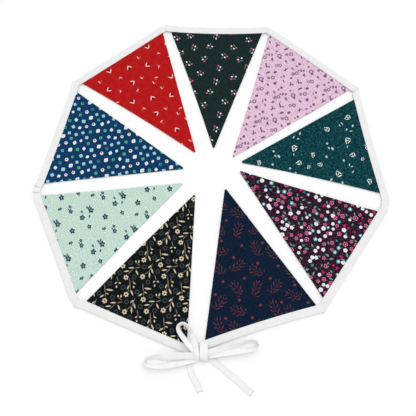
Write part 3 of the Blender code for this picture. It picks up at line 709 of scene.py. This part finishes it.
def level_station(place, outward, wall, slot, lift=0.0):
    middle = UP * (wall + slot / 2 + lift)
    return Station(place + middle, place + outward * TAPE_WIDTH + middle, UP, wall, slot)


def pleat(corner, before, after, over, gape):
    """The tape's stations through one corner: up to a fold, back under or over itself, and on."""
    turn = before.angle(after)
    layer = 2 * PLEAT_WALL + PLEAT_SLOT
    out_before = Vector((-before.y, before.x, 0))
    out_after = Vector((-after.y, after.x, 0))
    bisector = (out_before + out_after).normalized()
    pivot = corner + bisector * TAPE_WIDTH / math.cos(turn / 2)
    reach = TAPE_WIDTH / math.cos(turn / 4)
    first = -(Matrix.Rotation(turn / 4, 3, "Z") @ bisector)
    last = -(Matrix.Rotation(-turn / 4, 3, "Z") @ bisector)
    if (pivot + first * reach - corner).dot(before) < (pivot + last * reach - corner).dot(before):
        first, last = last, first
    stations = []
    levels = (2.5, 1.5, 0.5) if over > 0 else (0.5, 1.5, 2.5)
    for fold, (line, side) in enumerate(((first, 1), (last, -1))):
        onward = Vector((line.y, -line.x, 0))
        onward = onward if onward.dot(before) > 0 else -onward
        high, low = levels[fold] * layer, levels[fold + 1] * layer
        if over > 0 and fold == 0:
            high += gape
        if over < 0 and fold == 1:
            low += gape
        for degrees in FOLD_ANGLES:
            gamma = math.radians(degrees)
            up = (high + low) / 2 + (high - low) / 2 * math.cos(gamma)
            shift = onward * side * layer / 2 * math.sin(gamma)
            normal = UP * side * math.cos(gamma) + onward * over * math.sin(gamma)
            stations.append(Station(pivot + line * reach + shift + UP * up, pivot + shift * 0.6 + UP * up,
                                    normal, PLEAT_WALL, PLEAT_SLOT))
    return stations


def eased_round(corner, before, after):
    """The tape's stations through a corner that it takes flat, fanned round the corner's inner point."""
    turn = before.angle(after)
    out = Vector((-before.y, before.x, 0))
    outward = [Matrix.Rotation(-turn * n / EASED_STEPS, 3, "Z") @ out for n in range(EASED_STEPS + 1)]
    return [level_station(corner, way, TAPE_WALL, TAPE_SLOT) for way in outward]


def past_end(end, before, table):
    """Stations past an end of the tape, straight on from the last two."""
    run = (end.inner + end.outer - before.inner - before.outer).normalized()
    stations = []
    for past in table:
        middle = (end.inner + end.outer) / 2 + run * past.reach + UP * past.climb
        half = (end.outer - end.inner) / 2 * past.share
        stations.append(Station(middle - half, middle + half, UP, end.wall, end.slot))
    return stations


def leg_stations(flag):
    """The tape along one flag's base, perpendicular to the bowed seam line."""
    half = flag.base / 2 + TAPE_PAST
    steps = round(2 * half / STATION_STEP)
    sides = [half - 2 * half * n / steps for n in range(steps + 1)]
    places = [flag_place(flag, side, seam_along(flag, side)) for side in sides]
    stations = []
    for k, place in enumerate(places):
        run = (places[min(k + 1, steps)] - places[max(k - 1, 0)]).normalized()
        pucker = sum(noise.noise(place * often) * height for often, height in PUCKERS)
        stations.append(level_station(place, Vector((-run.y, run.x, 0)), TAPE_WALL + pucker, TAPE_SLOT))
    return stations


def bend_corners(flag, after, bend):
    """The points of the seam line where the tape turns between two flags."""
    start = flag_place(flag, -flag.base / 2 - TAPE_PAST, 0.0)
    end = flag_place(after, after.base / 2 + TAPE_PAST, 0.0)
    turn = math.radians((flag.heading - after.heading) % 360)
    outward = -(flag_axes(flag)[1] + flag_axes(after)[1]).normalized()
    corner = (start + end) / 2 + outward * (end - start).length / 2 * math.tan(turn / 2)
    corner += (end - start).normalized() * bend.slide
    if bend.across < ONE_FOLD:
        return start, [corner], end
    run, run_after = (corner - start).normalized(), (end - corner).normalized()
    return start, [corner - run * bend.across / 2, corner + run_after * bend.across / 2], end


def filled_in(stations, target):
    """Stations between the last one and the target, which is added too."""
    start = stations[-1]
    for n in range(1, FILL_STEPS + 1):
        stations.append(between(start, target, n / FILL_STEPS))


def tape_stations():
    """The whole tape, from the knot's left side round the ring to its right side."""
    stations = []
    for k, flag in enumerate(FLAGS):
        leg = leg_stations(flag)
        if stations:
            filled_in(stations, leg[0])
            leg = leg[1:]
        stations += leg
        if k < len(BENDS):
            start, corners, end = bend_corners(flag, FLAGS[k + 1], BENDS[k])
            stops = [start] + corners + [end]
            for n, corner in enumerate(corners):
                before = (stops[n + 1] - stops[n]).normalized()
                after = (stops[n + 2] - stops[n + 1]).normalized()
                if BENDS[k].over:
                    fold = pleat(corner, before, after, BENDS[k].over, BENDS[k].gape)
                else:
                    fold = eased_round(corner, before, after)
                filled_in(stations, fold[0])
                stations += fold[1:]
    return (past_end(stations[0], stations[1], INTO_KNOT)[::-1] + stations
            + past_end(stations[-1], stations[-2], OUT_OF_KNOT))


def sweep_tape(bm, stations, start=0.0):
    """A folded tape through its stations, with a map of its cut: length by width, in metres."""
    ring = [(p, 1) for p in TAPE_PROFILE] + [(p, -1) for p in reversed(TAPE_PROFILE[1:-1])]
    made = bmesh.ops.create_grid(bm, x_segments=len(stations) - 1, y_segments=len(ring), size=1.0)["verts"]
    layer = bm.loops.layers.uv.get("cut") or bm.loops.layers.uv.new("cut")
    lengths = [start]
    for one, other in zip(stations, stations[1:]):
        lengths.append(lengths[-1] + ((other.inner + other.outer) / 2 - (one.inner + one.outer) / 2).length)
    cut = {}
    ends = ([], [])
    for vert in made:
        column = round((vert.co.x + 1) / 2 * (len(stations) - 1))
        row = round((vert.co.y + 1) / 2 * len(ring))
        station = stations[column]
        profile, sign = ring[row % len(ring)]
        half = station.wall + station.slot / 2
        up = sign * (profile.half * half if profile.slot == 0 else
                     profile.half * station.wall + profile.slot * station.slot / 2)
        vert.co = station.inner.lerp(station.outer, profile.out) + station.normal * up
        vert.co.z = max(vert.co.z, 0.0)
        width = (station.outer - station.inner).length
        cut[vert] = (lengths[column], sign * profile.out * width)
    for face in {face for vert in made for face in vert.link_faces}:
        for loop in face.loops:
            loop[layer].uv = cut[loop.vert]
    bmesh.ops.remove_doubles(bm, verts=made, dist=1e-7)
    return lengths[-1]


def close_ends(bm):
    bmesh.ops.holes_fill(bm, edges=[edge for edge in bm.edges if edge.is_boundary], sides=0)
    bmesh.ops.recalc_face_normals(bm, faces=bm.faces)


def white_cotton(name, light, dark):
    cloth = Cloth(name, rough=0.85, specular=0.12)
    return cloth, cloth.ground(rgb(*light), rgb(*dark), 6, 0.3, 0.75)


bm = bmesh.new()
tape_length = sweep_tape(bm, tape_stations())
close_ends(bm)
binding = finished("folded_tape", bm)
cloth, white = white_cotton("tape_cotton", (239, 239, 239), (232, 232, 232))
binding.data.materials.append(cloth.finish(white, weave=0.34, depth=0.05))
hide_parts("binding")
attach(binding, "root")

# The stitching that holds the binding: short stitches of white thread through both sides of the tape and the
# flag between them, a little way in from the open edge, on the upper and on the lower face.
STITCH_LENGTH = 0.0019
STITCH_THICK = 0.00032
STITCH_SUNK = 0.00012  # how far the upper stitches' middles lie under the tape's face
STITCH_CLEAR = 0.00002  # how far the lower stitches stay off the surface that the tape lies on

bm = bmesh.new()
bmesh.ops.create_uvsphere(bm, u_segments=5, v_segments=4, radius=0.5,
                          matrix=Matrix.Diagonal((STITCH_LENGTH, STITCH_THICK, STITCH_THICK, 1))
                          @ Matrix.Rotation(math.pi / 2, 4, "Y"))
one_stitch = bpy.data.meshes.new("one_stitch")
bm.to_mesh(one_stitch)
bm.clear()
for flag in FLAGS:
    count = int(flag.base / STITCH_PITCH)
    for n in range(count):
        side = flag.base * ((n + 0.5) / count - 0.5)
        along = seam_along(flag, side) - STITCH_IN
        for up in (2 * TAPE_WALL + TAPE_SLOT - STITCH_SUNK, STITCH_THICK / 2 + STITCH_CLEAR):
            place = flag_place(flag, side, along, up)
            turn = Matrix.Rotation(math.radians(flag.heading - 90), 3, "Z")
            bm.from_mesh(one_stitch)
            bm.verts.ensure_lookup_table()
            for vert in bm.verts[-len(one_stitch.vertices):]:
                vert.co = turn @ vert.co + place
stitches = finished("seam_stitches", bm)
thread = Cloth("white_thread", rough=0.6, specular=0.25)
thread.nodes.remove(thread.nodes["UV Map"])
thread_place = thread.nodes.new("ShaderNodeTexCoord")
thread.links.new(thread_place.outputs["Object"], thread.nodes["Mapping"].inputs["Vector"])
thread_white = thread.dyed(thread.patches(0.6, 0.3, 0.7), rgb(244, 244, 244), rgb(226, 226, 228))
stitches.data.materials.append(thread.finish(thread_white, weave=0.22, depth=0.03))
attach(stitches, "root")

# The bow: the tape's two free ends, sewn shut and narrower than the binding, tied in two long loops that
# stand open upwards, with a small loop above the knot and two loose tails. A row for each turn of the tape,
# in millimetres: x, y and z of the middle of its width, its width, and its lean, the angle in degrees by
# which the edge on the right of the run is raised.
TIE_WALL = 0.00058
TIE_SLOT = 0.00006
TIE_STITCH_IN = 0.0016
TURN_STEPS = 6
LEFT_LOOP = (
    (-12, -205.5, 6, 8.5, 0), (-24, -205.6, 6.4, 9, 8), (-42, -206.2, 6, 9.4, 14),
    (-60, -206.6, 5, 9.4, 22), (-74, -207.6, 4.7, 9.4, 45), (-82.5, -209.6, 4.9, 9.4, 68),
    (-86.2, -213.6, 5.1, 9.4, 80), (-82.3, -217.8, 4.9, 9.4, 70), (-72, -219.4, 4.7, 9.4, 60),
    (-56, -218.6, 4.6, 9.4, 48), (-40, -215.4, 4.6, 9.2, 38), (-26, -212, 4.6, 9, 26),
    (-12, -208.5, 3.6, 8.5, 0),
)
RIGHT_LOOP = (
    (-6, -206, 3.6, 8.5, 0), (8, -204.5, 4.8, 8.8, 25), (24, -202, 4.6, 9.2, 32),
    (42, -200, 4.6, 9.4, 40), (56, -198.3, 4.7, 9.4, 55), (65, -196.2, 4.9, 9.4, 72),
    (68.3, -191.5, 5.1, 9.4, 80), (64.8, -186.8, 4.9, 9.4, 72), (55, -186.6, 4.9, 9.4, 60),
    (40, -191.8, 5, 9.3, 45), (24, -195.9, 5.6, 9, 27), (8, -200.1, 6.4, 8.8, 8),
    (-6, -203.5, 6.2, 8.5, 0),
)
SMALL_LOOP = (
    (-15, -213, 1, 6, 0), (-15, -211.8, 4.6, 6.6, 0), (-15, -208.5, 7.4, 7, 0),
    (-15.2, -203.5, 8.8, 7.2, 0), (-16, -198, 8.2, 7.4, 4), (-18.4, -190, 6.6, 9, 10),
    (-19.8, -183, 6, 9.2, 22), (-22.4, -175.8, 5.8, 9.2, 38), (-27, -168.5, 6, 9.2, 54),
    (-33.8, -163.8, 6.2, 9.2, 62), (-39.8, -166.2, 6.2, 9.2, 64), (-40.6, -171.8, 6, 9.2, 60),
    (-36.4, -179, 6.2, 9.2, 54), (-29.5, -187.5, 6.8, 9, 46), (-22.5, -195, 7, 8.5, 28),
    (-15, -202, 5.8, 8, 0),
)
LEFT_TAIL = (
    (-14, -205, 2.6, 8.4, 0), (-20, -209.5, 1.4, 8.4, 0), (-24.5, -214.5, 0.7, 8.4, 0),
    (-24.6, -220.5, 0.7, 8.6, 0), (-22.7, -226.7, 0.8, 8.9, 3), (-19.6, -234, 0.9, 9, 4),
    (-15.7, -240.2, 0.8, 9, 2), (-10.3, -252, 0.7, 8.8, 0),
)
RIGHT_TAIL = (
    (-8, -205, 2.6, 8.6, 0), (-1, -208, 1.3, 8.8, 0), (5.6, -212.2, 0.7, 9, 0),
    (18.7, -221.4, 0.7, 9, 0), (29.2, -229.6, 0.9, 9, 3), (39.2, -237.3, 0.8, 9.1, 2),
    (59, -254.7, 0.7, 9.2, 0),
)
# The right end of the binding turns down over the knot
WRAP = (
    (-5.6, -189.2, 2, 8.8, 0), (-5.7, -190, 3.6, 10.2, 0), (-5.8, -191.8, 5.2, 11, 0),
    (-5.8, -194.2, 6.4, 11.4, 0), (-5.8, -197, 7.6, 11.4, 0), (-5.7, -200, 8.5, 11.4, 0),
    (-5.6, -203.7, 9, 11.4, 0), (-5.6, -207.7, 8.5, 11.2, 0), (-5.7, -210.6, 6.4, 10.8, 0),
    (-5.8, -212.1, 3.6, 10.4, 0), (-5.9, -212.7, 1, 9.8, 0),
)


def smooth_turns(turns):
    """A smooth curve through the turns, over every column of the table."""
    rows = [Vector((x / 1000, y / 1000, z / 1000, width / 1000, lean)) for x, y, z, width, lean in turns]
    padded = [2 * rows[0] - rows[1]] + rows + [2 * rows[-1] - rows[-2]]
    points = []
    for a, b, c, d in zip(padded, padded[1:], padded[2:], padded[3:]):
        for n in range(TURN_STEPS):
            t = n / TURN_STEPS
            points.append((b * 2 + (c - a) * t + (a * 2 - b * 5 + c * 4 - d) * t**2
                           + (b * 3 - a - c * 3 + d) * t**3) / 2)
    points.append(rows[-1])
    return points


def ribbon_stations(turns, wall, slot):
    rows = smooth_turns(turns)
    places = [Vector(row[:3]) - PLAN_MIDDLE for row in rows]
    stations = []
    for k, row in enumerate(rows):
        run = (places[min(k + 1, len(rows) - 1)] - places[max(k - 1, 0)]).normalized()
        right = run.cross(UP).normalized()
        lean = math.radians(row[4])
        across = right * math.cos(lean) + right.cross(run) * math.sin(lean)
        face = across.cross(run)
        half = across * row[3] / 2
        low = abs(half.z) + abs(face.z) * (wall + slot / 2)
        lift = UP * max(0.0, low - places[k].z)
        stations.append(Station(places[k] - half + lift, places[k] + half + lift, face, wall, slot))
    return stations


bm = bmesh.new()
bow_length = 0.0
for turns in (LEFT_LOOP, RIGHT_LOOP, SMALL_LOOP, LEFT_TAIL, RIGHT_TAIL, WRAP):
    bow_length = sweep_tape(bm, ribbon_stations(turns, TIE_WALL, TIE_SLOT), bow_length)
close_ends(bm)
bow = finished("tied_bow", bm)
# Painted light: the ties are the same cotton as the binding, painted a little lighter than it to offset the
# shade that falls in the bow
cloth, white = white_cotton("tie_cotton_painted_lighter", (245, 245, 245), (239, 239, 239))
# Painted shade: darker dashes along the stitch line near the ties' open edge, for the shade where the
# stitches sink into the tape
length, out, _ = cloth.parts(cloth.place)
from_seam = cloth.math("ABSOLUTE", cloth.math("SUBTRACT", cloth.math("ABSOLUTE", out), TIE_STITCH_IN * 1000))
dashes = cloth.math("COSINE", cloth.math("MULTIPLY", length, 2 * math.pi / STITCH_PITCH / 1000))
seam = cloth.both(cloth.inside(from_seam, 0.3, 0.3), cloth.inside(dashes, 0.6, 0.6), 0.6)
bow.data.materials.append(cloth.finish(cloth.dyed(seam, white, rgb(204, 204, 207)), weave=0.34, depth=0.05))
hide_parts("tie_bow")
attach(bow, "root")

# The room: a plain white floor, even light from all round, and a broad soft light from above and behind. The
# camera looks down from a little in front of the middle.
FLOOR_SIZE = 6.0
CAMERA_PLACE = (-0.0040, -0.1542, 0.5765)
CAMERA_TILT = 12.632
CAMERA_LENS = 34.615
FLOOR_DROP = 0.0001  # keeps the floor just clear of the cloth
FLOOR_WHITE = (0.96, 0.96, 0.96, 1)
SKY_STRENGTH = 0.80
LIGHT_STRENGTH = 0.95
LIGHT_SPREAD = 50
LIGHT_TURN = (-34, 14, 0)

bm = bmesh.new()
bmesh.ops.create_grid(bm, x_segments=1, y_segments=1, size=FLOOR_SIZE / 2)
bmesh.ops.translate(bm, verts=bm.verts, vec=(0, 0, -FLOOR_DROP))
floor = finished("floor", bm)
paper = bpy.data.materials.new("white_paper")
paper.use_nodes = True
for socket, value in (("Base Color", FLOOR_WHITE), ("Roughness", 1.0), ("Specular IOR Level", 0.0)):
    paper.node_tree.nodes["Principled BSDF"].inputs[socket].default_value = value
floor.data.materials.append(paper)

world = bpy.data.worlds.new("studio")
bpy.context.scene.world = world
world.use_nodes = True
world.node_tree.nodes["Background"].inputs["Color"].default_value = (1.0, 1.0, 1.0, 1)
world.node_tree.nodes["Background"].inputs["Strength"].default_value = SKY_STRENGTH

sun = bpy.data.lights.new("soft_light", "SUN")
sun.energy = LIGHT_STRENGTH
sun.angle = math.radians(LIGHT_SPREAD)
sun_object = bpy.data.objects.new("soft_light", sun)
sun_object.rotation_euler = [math.radians(turn) for turn in LIGHT_TURN]
bpy.context.scene.collection.objects.link(sun_object)

camera = bpy.data.cameras.new("camera")
camera.lens = CAMERA_LENS
camera.sensor_width = 36.0
camera.clip_start = 0.01
camera_object = bpy.data.objects.new("camera", camera)
camera_object.location = CAMERA_PLACE
camera_object.rotation_euler = (math.radians(CAMERA_TILT), 0, 0)
bpy.context.scene.collection.objects.link(camera_object)
bpy.context.scene.camera = camera_object
bpy.context.scene.view_settings.view_transform = "Standard"
